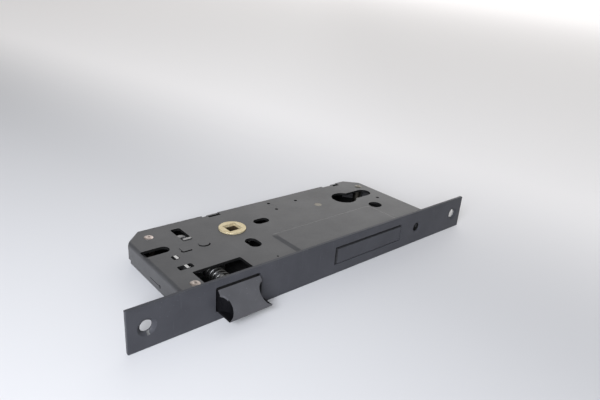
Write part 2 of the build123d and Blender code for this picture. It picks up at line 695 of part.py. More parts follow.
def deadbolt_tail():
    """The plate behind the bolt, with a slot for the throw lever's pin and notches for the detent."""
    plate = block(BOLT_TAIL_X, BOLT_TAIL_Y, BOLT_TAIL_Z)
    for rivet in BOLT_RIVETS:
        plate -= disc(rivet, BOLT_RIVET, THROUGH)
    pin_x, pin_y = throw_pin_place()
    low = THROW_PIVOT[0] - throw_radius() - THROW_PIN / 2 - THROW_SLOT_PLAY
    high = pin_x + THROW_PIN / 2 + THROW_SLOT_PLAY
    half = THROW_PIN / 2 + THROW_SLOT_PLAY
    plate -= window(((low, high), (pin_y - half, pin_y + half)), THROUGH, THROW_PIN / 2)
    edge = BOLT_TAIL_X[0]
    for notch in NOTCHES:
        mouth = [(edge, notch - NOTCH_HALF), (edge + NOTCH_DEPTH, notch), (edge, notch + NOTCH_HALF)]
        plate -= slab(mouth, THROUGH)
    return plate


def throw_lever():
    """The lever with a fork for the cylinder's cam and an arm for the pin."""
    pin = throw_pin_place()
    lever = disc(THROW_PIVOT, THROW_HUB, THROW_Z) + strip(THROW_PIVOT, pin, THROW_ARM, THROW_Z)
    lever += disc(pin, THROW_EYE, THROW_Z)
    for angle in THROW_FORK_ANGLES:
        lever += strip(THROW_PIVOT, polar(THROW_PIVOT, THROW_FORK, angle), THROW_FORK_WIDTH, THROW_Z)
    return lever - disc(THROW_PIVOT, PIVOT_POST + 2 * PLAY, THROUGH) - disc(pin, THROW_PIN, THROUGH)


def throw_lever_pin():
    """The pin that runs in the tail's slot."""
    return disc(throw_pin_place(), THROW_PIN, THROW_PIN_Z)


def detent_spring():
    """The leaf spring that holds the deadbolt in or out."""
    ribbon = trace(Polyline(*DETENT_ROUTE), DETENT_SHEET)
    return extrude(Pos(0, 0, DETENT_Z[0]) * ribbon, amount=DETENT_Z[1] - DETENT_Z[0])


def tail_guide_posts():
    """The low posts either side of the deadbolt's tail and at the detent spring's root."""
    return Compound([disc(post, GUIDE_POST, GUIDE_POST_Z) for post in GUIDE_POSTS])


NODES = {
    "forend": forend,
    "case_body": case_body,
    "case_cover": case_cover,
    "corner_rivets": corner_rivets,
    "stem_bracket": stem_bracket,
    "latch_head": latch_head,
    "latch_insert": latch_insert,
    "latch_stem": latch_stem,
    "latch_washer": latch_washer,
    "latch_tail": latch_tail,
    "latch_spring": latch_spring,
    "follower_hub": follower_hub,
    "follower_arm": follower_arm,
    "follower_spring": follower_spring,
    "spring_stop_post": spring_stop_post,
    "change_lever": change_lever,
    "deadbolt_head": deadbolt_head,
    "deadbolt_rivets": deadbolt_rivets,
    "deadbolt_tail": deadbolt_tail,
    "throw_lever": throw_lever,
    "throw_lever_pin": throw_lever_pin,
    "detent_spring": detent_spring,
    "tail_guide_posts": tail_guide_posts,
}

os.makedirs(OUT, exist_ok=True)
for node, make in NODES.items():
    export_step(make(), f"{OUT}/{node}.step")
for node, centre in (("change_lever_post", CHANGE_PIVOT), ("throw_lever_post", THROW_PIVOT)):
    export_step(pivot_post(centre), f"{OUT}/{node}.step")
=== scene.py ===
import json
import math

import bmesh
import bpy
from mathutils import Matrix, Vector

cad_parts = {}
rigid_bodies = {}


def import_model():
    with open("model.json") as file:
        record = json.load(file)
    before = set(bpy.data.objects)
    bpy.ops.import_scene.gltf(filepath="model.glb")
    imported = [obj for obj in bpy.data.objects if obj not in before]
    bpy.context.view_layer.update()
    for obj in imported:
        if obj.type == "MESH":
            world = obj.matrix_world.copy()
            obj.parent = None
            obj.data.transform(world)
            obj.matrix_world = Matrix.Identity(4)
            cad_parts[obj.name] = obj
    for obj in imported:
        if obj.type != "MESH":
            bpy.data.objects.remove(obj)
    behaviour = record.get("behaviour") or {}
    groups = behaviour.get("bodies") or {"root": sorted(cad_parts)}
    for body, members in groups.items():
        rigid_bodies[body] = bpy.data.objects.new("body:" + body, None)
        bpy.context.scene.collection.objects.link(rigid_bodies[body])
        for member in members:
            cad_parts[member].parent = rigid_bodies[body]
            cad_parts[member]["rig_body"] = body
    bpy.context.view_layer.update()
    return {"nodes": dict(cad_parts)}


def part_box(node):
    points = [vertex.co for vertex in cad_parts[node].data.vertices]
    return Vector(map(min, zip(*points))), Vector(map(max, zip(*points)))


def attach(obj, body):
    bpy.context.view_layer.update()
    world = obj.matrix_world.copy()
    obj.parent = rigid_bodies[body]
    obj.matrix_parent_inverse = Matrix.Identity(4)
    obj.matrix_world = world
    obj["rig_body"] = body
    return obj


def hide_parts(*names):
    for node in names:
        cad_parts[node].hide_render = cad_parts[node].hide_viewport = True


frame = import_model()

# Case tray
# A tray pressed from 1.5 mm steel sheet, with its walls bent up all round. It is powder
# coated black after pressing, and the coat is thin and a little bare along every cut edge.
SHEET_EDGE = 0.00022
EDGE_STEPS = 2
MERGED = 1e-6
FLAT_ANGLE = 0.5
CUT_ANGLE = 32
STEP_ANGLE = 16
STEP_ROUNDING = 3
CUT_EDGE = 1
FACING = 0.5
INSIDE = 0.0053
FAR_WALL = 0.07
COAT_DARK = (0.049, 0.049, 0.051)
COAT_LIGHT = (0.064, 0.064, 0.066)
COAT_ROUGH = 0.34
COAT_SHEEN = 0.5
CASE_PEEL = 0.00002
CLOUD = 0.018
DUST_SPACING = 0.0022
DUST_SPOT = (0.05, 0.11)
DUST_COVER = 0.5
DUST_PALER = 2.2
SCUFF = (0.016, 0.0002, 0.016)
SCUFF_TURN = (0, 0, 0.5)
SCUFF_PEAKS = (0.70, 0.78)
SCUFF_COVER = 0.35
SCUFF_PALER = 1.8
HAND_MARK = (0.03, 0.02, 0.02)
HAND_GLOSS = 0.05
MOST_NOISE = (0.3, 0.7)
COAT_GRAIN = 0.0012
GRAIN_SMOOTH = 0.06
GRAIN_ROUGH = 0.08
PEEL_WIDTH = 0.0007
WAVE_WIDTH = 0.004
BARE_STEEL = (0.24, 0.24, 0.25)
BARE_METAL = 0.55
RUB_WIDTH = 0.003
RUBBED = (0.35, 0.65)
STILL_COATED = 0.35
EDGE_ROUGH = 0.4
UNRUBBED_ROUGHER = 0.15
# Painted shade: the near black that stands for the shade on walls and sides deep in the lock.
SHADE_MOTTLE_WIDTH = 0.002
SHADE_MOTTLE_DEPTH = 0.00002
DULL_ROUGH = (0.75, 0.5)
DULL_SHEEN = 0.08
WALL_SHADE_DARK = (0.006, 0.006, 0.006)
WALL_SHADE_LIGHT = (0.014, 0.014, 0.014)


class Finish:
    """A material in the making, whose patterns lie in metres on the piece itself."""

    def __init__(self, name, metallic=0.0, rough=0.5):
        self.material = bpy.data.materials.new(name)
        self.material.use_nodes = True
        self.nodes = self.material.node_tree.nodes
        self.links = self.material.node_tree.links
        self.shader = self.nodes["Principled BSDF"]
        self.shader.inputs["Metallic"].default_value = metallic
        self.shader.inputs["Roughness"].default_value = rough

    def feed(self, socket, output):
        """Lets a pattern drive one of the shader's sockets."""
        self.links.new(output, self.shader.inputs[socket])

    def laid(self, size=1.0, turn=(0, 0, 0), about=(0, 0, 0)):
        """Places on the piece, about a point, where one unit is as long as the size given."""
        where = self.nodes.new("ShaderNodeTexCoord")
        mapping = self.nodes.new("ShaderNodeMapping")
        mapping.vector_type = "TEXTURE"
        mapping.inputs["Location"].default_value = about
        mapping.inputs["Rotation"].default_value = turn
        mapping.inputs["Scale"].default_value = size if isinstance(size, tuple) else (size, size, size)
        self.links.new(where.outputs["Object"], mapping.inputs["Vector"])
        return mapping.outputs["Vector"]

    def noise(self, size, detail=3.0, rough=0.6, turn=(0, 0, 0)):
        """Soft blotches of about the size given."""
        pattern = self.nodes.new("ShaderNodeTexNoise")
        pattern.inputs["Scale"].default_value = 1.0
        pattern.inputs["Detail"].default_value = detail
        pattern.inputs["Roughness"].default_value = rough
        self.links.new(self.laid(size, turn), pattern.inputs["Vector"])
        return pattern.outputs["Fac"]

    def specks(self, spacing):
        """The distance to scattered points, which is small only in tiny spots."""
        pattern = self.nodes.new("ShaderNodeTexVoronoi")
        pattern.inputs["Scale"].default_value = 1.0
        self.links.new(self.laid(spacing), pattern.inputs["Vector"])
        return pattern.outputs["Distance"]

    def between(self, factor, low, high, start=0.0, end=1.0, kind="LINEAR"):
        """A value that goes from low to high as the factor goes from start to end."""
        ranged = self.nodes.new("ShaderNodeMapRange")
        ranged.interpolation_type = kind
        self.links.new(factor, ranged.inputs["Value"])
        ranged.inputs["From Min"].default_value = start
        ranged.inputs["From Max"].default_value = end
        ranged.inputs["To Min"].default_value = low
        ranged.inputs["To Max"].default_value = high
        return ranged.outputs["Result"]

    def shade(self, factor, dark, light, start=0.3, end=0.7):
        """A colour that goes from dark to light as the factor goes from start to end."""
        ramp = self.nodes.new("ShaderNodeValToRGB")
        self.links.new(factor, ramp.inputs["Fac"])
        for element, place, colour in zip(ramp.color_ramp.elements, (start, end), (dark, light)):
            element.position = place
            element.color = (*colour, 1.0)
        return ramp.outputs["Color"]

    def over(self, factor, below, above):
        """One colour laid over another where the factor is high; either may be a pattern."""
        mix = self.nodes.new("ShaderNodeMix")
        mix.data_type = "RGBA"
        self.links.new(factor, mix.inputs["Factor"])
        for socket, colour in ((mix.inputs[6], below), (mix.inputs[7], above)):
            if isinstance(colour, tuple):
                socket.default_value = (*colour, 1.0)
            else:
                self.links.new(colour, socket)
        return mix.outputs[2]

    def joined(self, first, second, operation="ADD"):
        """Two patterns added up, or joined by another operation."""
        both = self.nodes.new("ShaderNodeMath")
        both.operation = operation
        self.links.new(first, both.inputs[0])
        self.links.new(second, both.inputs[1])
        return both.outputs[0]

    def relief(self, height, depth):
        """A fine relief, as deep as given in metres, on top of any that is there already."""
        bump = self.nodes.new("ShaderNodeBump")
        bump.inputs["Distance"].default_value = depth
        self.links.new(height, bump.inputs["Height"])
        if self.shader.inputs["Normal"].is_linked:
            earlier = self.shader.inputs["Normal"].links[0].from_socket
            self.links.new(earlier, bump.inputs["Normal"])
        self.feed("Normal", bump.outputs["Normal"])


def toned(colour, times):
    """A colour made paler or darker."""
    return tuple(times * part for part in colour)


def powder_coat(name, dark, light, rough, peel, sheen):
    """Black powder coat: orange peel, faint clouding, fine dust and a few hairline scuffs."""
    coat = Finish(name)
    coat.shader.inputs["Specular IOR Level"].default_value = sheen
    clouds = coat.shade(coat.noise(CLOUD), dark, light)
    dust = coat.between(coat.specks(DUST_SPACING), DUST_COVER, 0.0, *DUST_SPOT)
    dusted = coat.over(dust, clouds, toned(light, DUST_PALER))
    lines = coat.noise(SCUFF, detail=1.0, rough=0.5, turn=SCUFF_TURN)
    scuffs = coat.between(lines, 0.0, SCUFF_COVER, *SCUFF_PEAKS)
    coat.feed("Base Color", coat.over(scuffs, dusted, toned(light, SCUFF_PALER)))
    marks = coat.noise(HAND_MARK, detail=2.0, rough=0.5)
    handled = coat.between(marks, -HAND_GLOSS, HAND_GLOSS, *MOST_NOISE)
    grain = coat.noise(COAT_GRAIN, detail=4.0)
    grained = coat.between(grain, rough - GRAIN_SMOOTH, rough + GRAIN_ROUGH)
    coat.feed("Roughness", coat.joined(handled, grained))
    coat.relief(coat.noise(PEEL_WIDTH, detail=2.0, rough=0.5), peel)
    coat.relief(coat.noise(WAVE_WIDTH, detail=1.0, rough=0.5), 2 * peel)
    return coat.material


def bare_edge(name, colour, rough):
    """The thinned coat and bare steel along a cut edge."""
    edge = Finish(name, BARE_METAL)
    rub = edge.noise(RUB_WIDTH, detail=4.0, rough=0.65)
    edge.feed("Base Color", edge.shade(rub, toned(colour, STILL_COATED), colour, *RUBBED))
    edge.feed("Roughness", edge.between(rub, rough + UNRUBBED_ROUGHER, rough, *RUBBED))
    return edge.material


def shade_black(name, dark, light):
    """Near black painted on walls and sides for the shade that lies on them, with a faint random mottle.
    """
    dull = Finish(name)
    mottle = dull.noise(SHADE_MOTTLE_WIDTH, detail=4.0)
    dull.feed("Base Color", dull.shade(mottle, dark, light))
    dull.feed("Roughness", dull.between(mottle, *DULL_ROUGH))
    dull.shader.inputs["Specular IOR Level"].default_value = DULL_SHEEN
    dull.relief(mottle, SHADE_MOTTLE_DEPTH)
    return dull.material


def put_in(mesh, body, node):
    """Puts a finished mesh in the place of a CAD node."""
    piece = bpy.data.objects.new(mesh.name, mesh)
    bpy.context.scene.collection.objects.link(piece)
    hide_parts(node)
    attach(piece, body)
    return piece


def finished_copy(node, materials, width, steps=EDGE_STEPS, pressed=0.0):
    """A copy of a CAD node, its triangles joined up, its cut edges and pressed steps rounded."""
    source = frame["nodes"][node]
    mesh = source.data.copy()
    mesh.name = node + "_finished"
    shape = bmesh.new()
    shape.from_mesh(mesh)
    bmesh.ops.remove_doubles(shape, verts=shape.verts, dist=MERGED)
    bmesh.ops.dissolve_limit(shape, angle_limit=math.radians(FLAT_ANGLE), verts=shape.verts,
                             edges=shape.edges)
    cut = math.radians(CUT_ANGLE)
    if pressed:
        steps_in_sheet = [edge for edge in shape.edges
                          if edge.is_manifold and math.radians(STEP_ANGLE) < edge.calc_face_angle() < cut]
        bmesh.ops.bevel(shape, geom=steps_in_sheet, offset=pressed, segments=STEP_ROUNDING, profile=0.5,
                        affect="EDGES", clamp_overlap=True, material=-1)
    edges = [edge for edge in shape.edges if edge.is_manifold and edge.calc_face_angle() > cut]
    bmesh.ops.bevel(shape, geom=edges, offset=width, segments=steps, profile=0.5, affect="EDGES",
                    clamp_overlap=True, material=CUT_EDGE if len(materials) > 1 else -1)
    for face in shape.faces:
        face.smooth = True
    shape.to_mesh(mesh)
    shape.free()
    if "custom_normal" in mesh.attributes:
        mesh.attributes.remove(mesh.attributes["custom_normal"])
    mesh.set_sharp_from_angle(angle=cut)
    mesh.materials.clear()
    for material in materials:
        mesh.materials.append(material)
    piece = put_in(mesh, source["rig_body"], node)
    even = piece.modifiers.new("even_shading", "WEIGHTED_NORMAL")
    even.keep_sharp = True
    return piece


def repaint(piece, finish, chosen, over=0):
    """Gives the faces that a test picks, by middle and direction, another finish."""
    finishes = piece.data.materials
    if finishes.find(finish.name) < 0:
        finishes.append(finish)
    for face in piece.data.polygons:
        if face.material_index == over and chosen(face.center, face.normal):
            face.material_index = finishes.find(finish.name)


case_coat = powder_coat("case_powder_coat", COAT_DARK, COAT_LIGHT, COAT_ROUGH, CASE_PEEL, COAT_SHEEN)
case_edge = bare_edge("case_cut_edge", BARE_STEEL, EDGE_ROUGH)
# Painted shade: near black for walls and floors that lie in shade inside the lock.
wall_shade = shade_black("painted_shade_wall", WALL_SHADE_DARK, WALL_SHADE_LIGHT)
tray = finished_copy("case_body", [case_coat, case_edge], SHEET_EDGE)
# The tray's inside floor and the inner side of its far wall are painted near black as painted shade.
repaint(tray, wall_shade, lambda middle, way: way.z > FACING and -INSIDE < middle.z < 0)
repaint(tray, wall_shade, lambda middle, way: way.y < -FACING and middle.y > FAR_WALL)

# Case cover
# The second pressed sheet. Its two ends are bent down over the tray, the middle is pressed
# up over the deadbolt, and the windows and slots for the works are punched through it.
PRESSED_ROUND = 0.0005
COVER_MIDDLE = -0.0033
COVER_HALF_LENGTH = 0.0905
COVER_DEPTH = 0.0735


def cover_walls_in_shade(middle, way):
    """The walls of the windows, slots and holes, but not the sheet's outer edge, painted near black as
    painted shade.
    """
    within = abs(middle.x - COVER_MIDDLE) < COVER_HALF_LENGTH and middle.y < COVER_DEPTH
    return within and abs(way.z) < FACING and middle.z > INSIDE


cover = finished_copy("case_cover", [case_coat, case_edge], SHEET_EDGE, pressed=PRESSED_ROUND)
# Painted shade: the walls of the cover's windows, slots and holes are painted near black.
repaint(cover, wall_shade, cover_walls_in_shade)

# Forend
# A flat steel bar with the openings for both bolts, staked to the tray from behind. Its coat
# is thinner and cooler than the case's. Screws have rubbed it bare in their holes, and the right
# hole's wall and a patch low in the left countersink are painted pale as painted highlights. The
# walls of the openings are painted near black as painted shade.
FOREND_EDGE = 0.00018
FOREND_DARK = (0.048, 0.049, 0.056)
FOREND_LIGHT = (0.060, 0.061, 0.069)
FOREND_PEEL = 0.00001
FOREND_SHEEN = 0.15
THIN_COAT = (0.11, 0.11, 0.12)
RUBBED_HOLE_HIGHLIGHT = (0.60, 0.60, 0.60)
SINK_GLINT = (0.22, 0.22, 0.22)
SCREW_SPACING = 0.227
HOLE_RADIUS = 0.0031
HOLE_LEAN = 0.2
SINK_LEAN = 0.95
GLINT_WIDTH = 0.0012
GLINT_BELOW = 0.0028
OPENINGS_END = 0.09
OPENINGS_HALF_HEIGHT = 0.0105
BESIDE_BOLT = 0.002
bolt_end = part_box("deadbolt_head")[1][0] + BESIDE_BOLT


def right_hole_rubbed_highlit(middle, way):
    """The wall of the right screw hole, where the thread has rubbed and a highlight is painted pale."""
    from_screw = Vector((middle.x - SCREW_SPACING / 2, middle.z)).length
    return abs(way.y) < HOLE_LEAN and from_screw < HOLE_RADIUS


def left_sink_glint_patch(middle, way):
    """A small patch low in the left countersink, painted pale as a glint where the screw's head has
    rubbed.
    """
    beside_screw = middle.x + SCREW_SPACING / 2
    return HOLE_LEAN < abs(way.y) < SINK_LEAN and 0 < beside_screw < GLINT_WIDTH and middle.z < -GLINT_BELOW


def in_openings(middle, way):
    """The walls that lie in shade: of both bolts' openings and of the cylinder screw's hole."""
    within = abs(middle.x) < OPENINGS_END and abs(middle.z) < OPENINGS_HALF_HEIGHT and abs(way.y) < FACING
    return within and (way.z < FACING and way.x > -FACING or middle.x > bolt_end)


forend_coat = powder_coat("forend_coat", FOREND_DARK, FOREND_LIGHT, COAT_ROUGH, FOREND_PEEL, FOREND_SHEEN)
forend_edge = bare_edge("forend_cut_edge", THIN_COAT, EDGE_ROUGH)
rubbed_hole_highlight = bare_edge("screw_hole_rubbed_highlight", RUBBED_HOLE_HIGHLIGHT, EDGE_ROUGH)
sink_glint = bare_edge("countersink_painted_glint", SINK_GLINT, EDGE_ROUGH)
forend = finished_copy("forend", [forend_coat, forend_edge], FOREND_EDGE)
# Painted highlight: the right screw hole's wall, rubbed bare and painted pale for the light it catches.
repaint(forend, rubbed_hole_highlight, right_hole_rubbed_highlit)
# Painted glint: a small pale patch low in the left countersink.
repaint(forend, sink_glint, left_sink_glint_patch)
# Painted shade: the walls of the bolts' openings and of the cylinder screw's hole are painted near black.
repaint(forend, wall_shade, in_openings)

# Corner rivets
# Four shouldered steel rivets hold the cover off the tray. Each neck is headed over in both
# sheets, with a dimple from the punch. Their copper plate is bright at the far left only.
RIVET_PLACES = ((-0.0824, 0.0644), (-0.0849, 0.0097), (0.0796, 0.0604), (0.0796, 0.0054))
RIVET_SHOULDER = 0.0030
RIVET_NECK = 0.0018
RIVET_HEAD = 0.0026
RIVET_DOME = 0.00042
RIVET_DIMPLE = 0.0008
RIVET_TURNS = 40
HEAD_ANGLE = 40
CASE_TOP = 0.00675
SHEET = 0.0015
TARNISH = (0.0016, 0.0016, 0.0012)
COPPER_DARK = (0.56, 0.46, 0.42)
COPPER_LIGHT = (0.76, 0.67, 0.63)
FAR_COPPER_DARK = (0.15, 0.14, 0.12)
FAR_COPPER_LIGHT = (0.27, 0.25, 0.21)
BRIGHT_WITHIN = 0.02
DULL_BEYOND = 0.10
COPPER_ROUGH = (0.42, 0.26)
PIT_WIDTH = 0.0004
PIT_DEPTH = 0.00003

rivet_plate = Finish("copper_plate", 1.0)
tarnish = rivet_plate.noise(TARNISH, detail=4.0)
bright_copper = rivet_plate.shade(tarnish, COPPER_DARK, COPPER_LIGHT, end=0.6)
far_copper = rivet_plate.shade(tarnish, FAR_COPPER_DARK, FAR_COPPER_LIGHT)
from_first = rivet_plate.nodes.new("ShaderNodeVectorMath")
from_first.operation = "LENGTH"
rivet_plate.links.new(rivet_plate.laid(about=(*RIVET_PLACES[0], 0)), from_first.inputs[0])
# The copper is darker the farther a rivet stands from the first, at the far left.
farness = rivet_plate.between(from_first.outputs["Value"], 0.0, 1.0, BRIGHT_WITHIN, DULL_BEYOND)
rivet_plate.feed("Base Color", rivet_plate.over(farness, bright_copper, far_copper))
rivet_plate.feed("Roughness", rivet_plate.between(tarnish, *COPPER_ROUGH, *MOST_NOISE))
rivet_plate.relief(rivet_plate.noise(PIT_WIDTH, rough=0.5), PIT_DEPTH)

domed_head = [(0, 0.3), (0.6 * RIVET_DIMPLE, 0.35), (RIVET_DIMPLE, 0.9), (1.5 * RIVET_DIMPLE, 1),
              (0.78 * RIVET_HEAD, 0.8), (0.94 * RIVET_HEAD, 0.4), (RIVET_HEAD, 0)]
neck = [(RIVET_NECK, CASE_TOP - SHEET / 2), (RIVET_NECK, CASE_TOP - SHEET),
        (RIVET_SHOULDER, CASE_TOP - SHEET)]
upper_half = [(radius, CASE_TOP + rise * RIVET_DOME) for radius, rise in domed_head] + neck
rivet_outline = upper_half + [(radius, -height) for radius, height in reversed(upper_half)]
rivets = bmesh.new()
for x, y in RIVET_PLACES:
    points = [rivets.verts.new((x + radius, y, height)) for radius, height in rivet_outline]
    sides = [rivets.edges.new(pair) for pair in zip(points, points[1:])]
    bmesh.ops.spin(rivets, geom=points + sides, cent=(x, y, 0), axis=(0, 0, 1), angle=2 * math.pi,
                   steps=RIVET_TURNS, use_merge=True)
bmesh.ops.remove_doubles(rivets, verts=rivets.verts, dist=MERGED)
bmesh.ops.recalc_face_normals(rivets, faces=rivets.faces)
for face in rivets.faces:
    face.smooth = True
rivet_mesh = bpy.data.meshes.new("corner_rivets_headed")
rivets.to_mesh(rivet_mesh)
rivets.free()
rivet_mesh.set_sharp_from_angle(angle=math.radians(HEAD_ANGLE))
rivet_mesh.materials.append(rivet_plate.material)
put_in(rivet_mesh, "case", "corner_rivets")

# Stem bracket
# A strip of steel bent to an angle and plated with bright zinc. The latch's spring pushes on
# it, and its two tabs come up through the cover, where the plating is rubbed bright.
PART_EDGE = 0.00012
ZINC_DARK = (0.58, 0.59, 0.60)
ZINC_LIGHT = (0.76, 0.76, 0.75)
ZINC_RUBBED = (0.86, 0.86, 0.86)
ZINC_ROUGH = 0.34
ZINC_BLOOM = 0.007
ZINC_STAIN = 0.0025
STAIN_PEAKS = (0.66, 0.76)
STAIN_COVER = 0.6
STAIN_DARKER = 0.45
ROLLING_LINE = (0.02, 0.0003, 0.0003)
LINE_SMOOTH = 0.07
LINE_ROUGH = 0.13
LINE_DEPTH = 0.00002
ZINC_EDGE_ROUGH = 0.3


def zinc_plate(name, dark, light, rough, grain_turn=0.0):
    """Bright zinc on rolled sheet: rolling lines, faint bloom and small stains."""
    zinc = Finish(name, 1.0)
    colour = zinc.shade(zinc.noise(ZINC_BLOOM), dark, light, end=0.65)
    spots = zinc.noise(ZINC_STAIN, detail=2.0, rough=0.5)
    stains = zinc.between(spots, 0.0, STAIN_COVER, *STAIN_PEAKS)
    zinc.feed("Base Color", zinc.over(stains, colour, toned(dark, STAIN_DARKER)))
    rolled = zinc.noise(ROLLING_LINE, turn=(0, 0, grain_turn))
    zinc.feed("Roughness", zinc.between(rolled, rough - LINE_SMOOTH, rough + LINE_ROUGH))
    zinc.relief(rolled, LINE_DEPTH)
    return zinc.material


zinc_flat = zinc_plate("zinc_along_forend", ZINC_DARK, ZINC_LIGHT, ZINC_ROUGH)
zinc_deep = zinc_plate("zinc_into_door", ZINC_DARK, ZINC_LIGHT, ZINC_ROUGH, math.pi / 2)
zinc_edge = bare_edge("zinc_cut_edge", ZINC_RUBBED, ZINC_EDGE_ROUGH)
finished_copy("stem_bracket", [zinc_deep, zinc_edge], PART_EDGE)

# Latch head
# The bevelled bolt's shell, folded from steel plate and open where a round scoop is taken out
# of each end. Its bevel's coat is a little paler than the forend's, partly as painted light for
# the light its upturned face catches. Its other sides and the rounded edge along its top are
# painted near black as painted shade, for they lie in the forend's opening.
LATCH_EDGE = 0.00022
LATCH_DARK = (0.068, 0.068, 0.073)
LATCH_LIGHT = (0.090, 0.090, 0.096)
LATCH_ROUGH = 0.42
LATCH_SHEEN = 0.25
WORKING_EDGE = (0.30, 0.30, 0.31)
WORKING_EDGE_ROUGH = 0.34
SIDE_SHADE_DARK = (0.003, 0.003, 0.004)
SIDE_SHADE_LIGHT = (0.008, 0.008, 0.008)
ROUNDED = 0.3
latch_coat = powder_coat("latch_coat", LATCH_DARK, LATCH_LIGHT, LATCH_ROUGH, FOREND_PEEL, LATCH_SHEEN)
latch_edge = bare_edge("latch_rubbed_edge", WORKING_EDGE, WORKING_EDGE_ROUGH)
latch_side_shade = shade_black("latch_side_shade", SIDE_SHADE_DARK, SIDE_SHADE_LIGHT)
latch = finished_copy("latch_head", [latch_coat, latch_edge], LATCH_EDGE)
# Painted shade: the latch's sides, and the rounded edge along its top, are painted near black.
repaint(latch, latch_side_shade, lambda middle, way: way.y > -FACING)
repaint(latch, latch_side_shade, lambda middle, way: way.z > ROUNDED and abs(way.x) < ROUNDED, over=CUT_EDGE)

# Latch insert
# The nylon block moulded to fill the shell, which shows inside the scoops. Its black is made
# darker than nylon's own, as painted shade deep in the scoops. It keeps the latch quiet on the
# strike and holds the stem.
NYLON_AND_SHADE_DARK = (0.003, 0.003, 0.004)
NYLON_AND_SHADE_LIGHT = (0.006, 0.006, 0.007)
NYLON_GRAIN = 0.0009
NYLON_DEPTH = 0.00002
NYLON_ROUGH = (0.55, 0.7)
NYLON_SHEEN = 0.06
nylon = Finish("black_nylon")
moulded = nylon.noise(NYLON_GRAIN)
# Black nylon, painted darker still for the shade in the scoops.
nylon.feed("Base Color", nylon.shade(moulded, NYLON_AND_SHADE_DARK, NYLON_AND_SHADE_LIGHT))
nylon.feed("Roughness", nylon.between(moulded, *NYLON_ROUGH))
nylon.shader.inputs["Specular IOR Level"].default_value = NYLON_SHEEN
nylon.relief(moulded, NYLON_DEPTH)
finished_copy("latch_insert", [nylon.material], PART_EDGE)

# Latch stem, washer and tail
# The stem is turned from rod and riveted to the tail, a stamped plate with a lug for the
# follower's arm and a tab turned up into the cover's window. All are zinc plated, the tail dull.
TAIL_DARK = (0.30, 0.30, 0.31)
TAIL_LIGHT = (0.46, 0.46, 0.46)
TAIL_ROUGH = 0.42
zinc_dull = zinc_plate("zinc_dulled", TAIL_DARK, TAIL_LIGHT, TAIL_ROUGH, math.pi / 2)
finished_copy("latch_stem", [zinc_deep, zinc_edge], PART_EDGE)
finished_copy("latch_washer", [zinc_flat, zinc_edge], PART_EDGE)
finished_copy("latch_tail", [zinc_dull, zinc_edge], PART_EDGE)

# Latch spring
# Drawn spring wire wound cold round the stem, dark with oil, with fine lines from the die
# along the wire.
WIRE_DARK = (0.10, 0.10, 0.10)
WIRE_LIGHT = (0.22, 0.22, 0.21)
WIRE_ROUGH = (0.3, 0.5)
DRAWN_LINE = (0.0012, 0.0004, 0.0012)
DRAWN_DEPTH = 0.00002
spring_wire = Finish("spring_wire", 1.0)
drawn = spring_wire.noise(DRAWN_LINE, detail=4.0)
spring_wire.feed("Base Color", spring_wire.shade(drawn, WIRE_DARK, WIRE_LIGHT))
spring_wire.feed("Roughness", spring_wire.between(drawn, *WIRE_ROUGH))
spring_wire.relief(drawn, DRAWN_DEPTH)


def refinish(node, material):
    """Gives a CAD node that keeps its own mesh a finish."""
    mesh = frame["nodes"][node].data
    mesh.materials.clear()
    mesh.materials.append(material)


refinish("latch_spring", spring_wire.material)

# Follower hub
# A brass casting that stands a little proud of the cover. Its faces keep the rings of the lathe
# and its rim is matt. The square for the spindle is painted dark brown below its mouth, as painted
# shade deep in the bore.
HUB_PLACE = (-0.0375, 0.050, 0)
HUB_EDGE = 0.0005
HUB_EDGE_STEPS = 3
RING_PITCH = 0.00045
RING_DEPTH = 0.00001
ONE_RING_PER_UNIT = math.pi / 10
RING_WAVER = 0.6
TURNED_ROUGH = (0.26, 0.36)
BORE_SHADE_ENDS = 0.0062
BORE_SHADE_FULL = 0.0056
RIM_LEAN = 0.3
BRASS_DARK = (0.58, 0.48, 0.28)
BRASS_LIGHT = (0.70, 0.62, 0.43)
BRASS_CLOUD = 0.003
MATT_BRASS_DARK = (0.52, 0.42, 0.25)
MATT_BRASS_LIGHT = (0.68, 0.60, 0.40)
MATT_METAL = 0.35
MATT_ROUGH = (0.8, 0.6)
TEAR = (0.0006, 0.0006, 0.004)
TEAR_DEPTH = 0.00003
BORE_SHADE = (0.060, 0.040, 0.018)


def along(finish, way):
    """How far each place on a piece lies along a direction, in metres."""
    reach = finish.nodes.new("ShaderNodeVectorMath")
    reach.operation = "DOT_PRODUCT"
    reach.inputs[1].default_value = way
    finish.links.new(finish.laid(), reach.inputs[0])
    return reach.outputs["Value"]


turned_brass = Finish("turned_brass", 1.0)
rings = turned_brass.nodes.new("ShaderNodeTexWave")
rings.wave_type = "RINGS"
rings.rings_direction = "Z"
rings.inputs["Scale"].default_value = ONE_RING_PER_UNIT
rings.inputs["Distortion"].default_value = RING_WAVER
turned_brass.links.new(turned_brass.laid(RING_PITCH, about=HUB_PLACE), rings.inputs["Vector"])
warmth = turned_brass.noise(BRASS_CLOUD)
turned_brass.feed("Base Color", turned_brass.shade(warmth, BRASS_DARK, BRASS_LIGHT))
turned_brass.feed("Roughness", turned_brass.between(rings.outputs["Fac"], *TURNED_ROUGH))
turned_brass.relief(rings.outputs["Fac"], RING_DEPTH)

matt_brass = Finish("matt_brass", MATT_METAL)
torn = matt_brass.noise(TEAR)
matt_colour = matt_brass.shade(torn, MATT_BRASS_DARK, MATT_BRASS_LIGHT)
